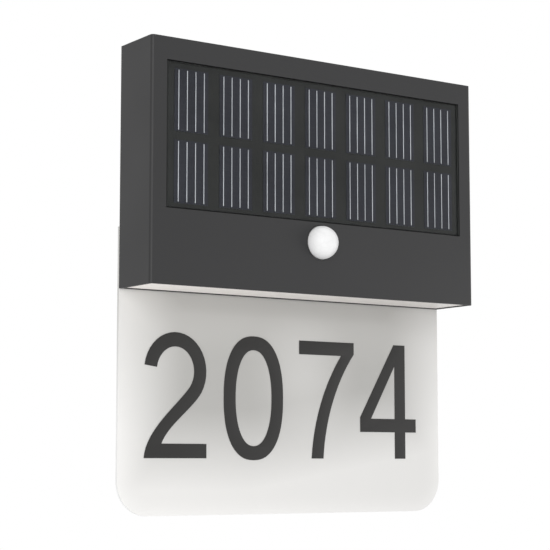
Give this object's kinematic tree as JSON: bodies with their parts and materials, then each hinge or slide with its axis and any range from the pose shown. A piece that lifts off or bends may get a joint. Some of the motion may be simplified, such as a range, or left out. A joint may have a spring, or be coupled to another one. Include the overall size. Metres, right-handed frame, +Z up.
{
  "type": "solar house number light",
  "caption": "Wall-hung solar house number light: flat casing with solar panel, motion sensor and downward LED strip, over a frosted acrylic number plate, on a lift-off wall bracket.",
  "frame": {"origin": "midpoint between the two wall screws, on the wall", "axes": "+X right as seen from the street, +Y into the wall, +Z up"},
  "size_m": [0.26, 0.053, 0.2988],
  "materials": {
    "anthracite_plastic": "fine moulded grain, matt anthracite",
    "rear_plastic": "moulded ABS, matt anthracite",
    "door_plastic": "moulded ABS, matt anthracite",
    "opal_plastic": "opal, satin",
    "frosted_acrylic": "white translucent acrylic, satin",
    "panel_film": "clear weatherproof film, satin",
    "silicon": "blue-black solar cell",
    "tinned_copper": "tinned ribbon",
    "backing_laminate": "black glass-fibre laminate",
    "foam_tape": "black foam tape",
    "black_rubber": "silicone rubber",
    "grey_rubber": "soft silicone cap",
    "white_plastic": "white reflecting plastic",
    "circuit_board": "green solder mask",
    "white_board": "white solder mask on aluminium",
    "led_phosphor": "yellow phosphor in a white case",
    "chip_black": "moulded epoxy",
    "connector_white": "natural nylon",
    "plain_steel": "zinc-plated steel",
    "screw_steel": "stainless steel",
    "cell_wrap": "shrink-wrapped battery cell",
    "spring_steel": "nickel-plated spring steel",
    "wire_red_black": "insulated lead",
    "wire_grey": "insulated lead"
  },
  "bodies": {
    "bracket": {"wall_bracket": "plain_steel"},
    "lamp": {"front_casing": "anthracite_plastic", "rear_cover": "rear_plastic", "rear_cover_seal": "black_rubber", "rear_cover_screws": "screw_steel", "solar_front_sheet": "panel_film", "solar_ribbons": "tinned_copper", "solar_cells": "silicon", "solar_backing_board": "backing_laminate", "solar_panel_tape": "foam_tape", "sensor_lens": "opal_plastic", "sensor_lens_gasket": "black_rubber", "sensor_lens_retainer": "rear_plastic", "sensor_retainer_screws": "screw_steel", "sensor_board": "circuit_board", "sensor_board_screws": "screw_steel", "motion_sensor": "plain_steel", "reflector": "white_plastic", "led_board": "white_board", "leds": "led_phosphor", "light_screws": "screw_steel", "diffuser": "opal_plastic", "led_grommet": "black_rubber", "battery_cell": "cell_wrap", "battery_contacts": "spring_steel", "battery_door_seal": "black_rubber", "control_board": "circuit_board", "control_board_screws": "screw_steel", "board_parts": "chip_black", "board_connectors": "connector_white", "push_switch": "chip_black", "led_lead": "wire_grey", "sensor_lead": "wire_grey", "panel_lead": "wire_grey", "battery_leads": "wire_red_black", "number_plate": "frosted_acrylic", "plate_screws": "screw_steel"},
    "battery_door": {"battery_door": "door_plastic"},
    "mode_button": {"mode_button": "grey_rubber", "switch_plunger": "connector_white"}
  },
  "joints": [
    {"name": "lamp_lift", "type": "slide", "parent": "bracket", "child": "lamp", "axis": [0, 0, 1], "range_m": [0, 0.011]},
    {"name": "battery_door_slide", "type": "slide", "parent": "lamp", "child": "battery_door", "axis": [0, 0, 1], "range_m": [0, 0.01]},
    {"name": "mode_button_press", "type": "slide", "parent": "lamp", "child": "mode_button", "axis": [0, -1, 0], "range_m": [0, 0.0008], "stiffness_N_per_m": 400}
  ]
}
